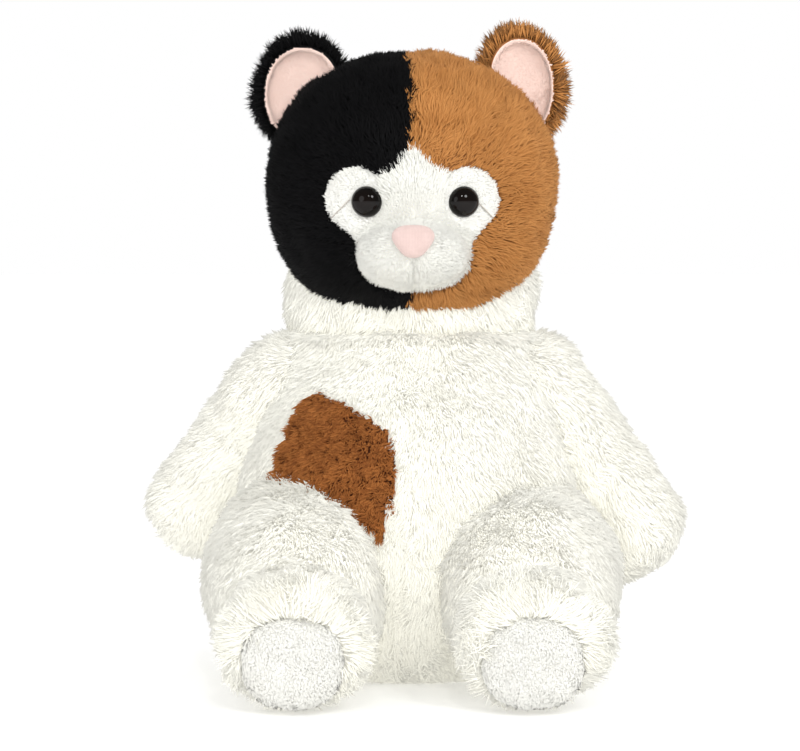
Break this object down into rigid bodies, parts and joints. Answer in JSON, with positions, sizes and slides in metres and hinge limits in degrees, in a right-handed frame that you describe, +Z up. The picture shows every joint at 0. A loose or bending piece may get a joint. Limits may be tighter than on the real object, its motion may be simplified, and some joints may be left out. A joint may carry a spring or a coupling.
{
  "type": "plush cat",
  "caption": "Sitting stuffed toy cat with a black and tan face, white muzzle and body, a rust belly patch, domed eyes, and a head, ears, limbs and tail that flex at their seams",
  "frame": {"origin": "Middle of the flat seat, on the surface the cat sits on", "axes": "+Z up, the cat faces -Y, +X is the cat's own left"},
  "size_m": [0.2781, 0.308, 0.3275],
  "materials": {
    "white_plush": "matte",
    "black_plush": "matte",
    "tan_plush": "matte",
    "rust_plush": "matte",
    "pink_short_pile": "matte",
    "pink_knit": "matte",
    "white_short_pile": "matte",
    "fibre_fill": "matte",
    "pellet_bag_cloth": "matte",
    "eye_black": "gloss",
    "washer_white": "matte",
    "thread": "matte",
    "label_cloth": "satin"
  },
  "bodies": {
    "torso": {"body_front_panel": "white_plush", "body_back_panel": "white_plush", "belly_patch": "rust_plush", "body_stuffing": "fibre_fill", "seat_pellet_bag": "pellet_bag_cloth", "care_label": "label_cloth"},
    "neck": {"neck_wrap": "white_plush", "neck_stuffing": "fibre_fill"},
    "head": {"head_stuffing": "fibre_fill", "head_panel_black": "black_plush", "head_panel_tan": "tan_plush", "head_panel_back": "white_plush", "muzzle_panel": "white_plush", "eye_patch_right": "white_short_pile", "eye_patch_left": "white_short_pile", "eye_right": "eye_black", "eye_left": "eye_black", "eye_washers": "washer_white", "nose": "pink_knit", "mouth_stitch": "thread"},
    "ear_right": {"ear_outer_right": "black_plush", "ear_lining_right": "pink_short_pile"},
    "ear_left": {"ear_outer_left": "tan_plush", "ear_lining_left": "pink_short_pile"},
    "arm_right": {"arm_skin_right": "white_plush", "arm_stuffing_right": "fibre_fill"},
    "arm_left": {"arm_skin_left": "white_plush", "arm_stuffing_left": "fibre_fill"},
    "leg_right": {"leg_skin_right": "white_plush", "leg_stuffing_right": "fibre_fill", "sole_pad_right": "white_short_pile"},
    "leg_left": {"leg_skin_left": "white_plush", "leg_stuffing_left": "fibre_fill", "sole_pad_left": "white_short_pile"},
    "tail": {"tail_skin": "black_plush", "tail_stuffing": "fibre_fill"}
  },
  "joints": [
    {"name": "neck_turn", "type": "hinge", "parent": "torso", "child": "neck", "pos_m": [0, 0.008, 0.178], "axis": [0, 0, 1], "range_deg": [-30, 30], "stiffness_Nm_per_rad": 1.2},
    {"name": "head_nod", "type": "hinge", "parent": "neck", "child": "head", "pos_m": [0, 0.008, 0.2], "axis": [1, 0, 0], "range_deg": [-10, 10], "stiffness_Nm_per_rad": 2.5},
    {"name": "ear_fold_right", "type": "hinge", "parent": "head", "child": "ear_right", "pos_m": [-0.05208, 0, 0.30035], "axis": [0.6283, 0, 0.778], "range_deg": [-15, 15], "stiffness_Nm_per_rad": 0.05},
    {"name": "ear_fold_left", "type": "hinge", "parent": "head", "child": "ear_left", "pos_m": [0.05208, 0, 0.30035], "axis": [-0.6283, 0, 0.778], "range_deg": [-15, 15], "stiffness_Nm_per_rad": 0.05},
    {"name": "shoulder_swing_right", "type": "hinge", "parent": "torso", "child": "arm_right", "pos_m": [-0.064, 0.005, 0.15], "axis": [-0.7071, 0.7071, 0], "range_deg": [-5, 30], "stiffness_Nm_per_rad": 0.4},
    {"name": "shoulder_swing_left", "type": "hinge", "parent": "torso", "child": "arm_left", "pos_m": [0.064, 0.005, 0.15], "axis": [-0.7071, -0.7071, 0], "range_deg": [-5, 30], "stiffness_Nm_per_rad": 0.4},
    {"name": "hip_lift_right", "type": "hinge", "parent": "torso", "child": "leg_right", "pos_m": [-0.058, -0.035, 0.0466], "axis": [-1, 0, 0], "range_deg": [-5, 20], "stiffness_Nm_per_rad": 0.8},
    {"name": "hip_lift_left", "type": "hinge", "parent": "torso", "child": "leg_left", "pos_m": [0.058, -0.035, 0.0466], "axis": [-1, 0, 0], "range_deg": [-5, 20], "stiffness_Nm_per_rad": 0.8},
    {"name": "tail_swing", "type": "hinge", "parent": "torso", "child": "tail", "pos_m": [0, 0.07, 0.024], "axis": [0, 0, 1], "range_deg": [-25, 25], "stiffness_Nm_per_rad": 0.15}
  ]
}
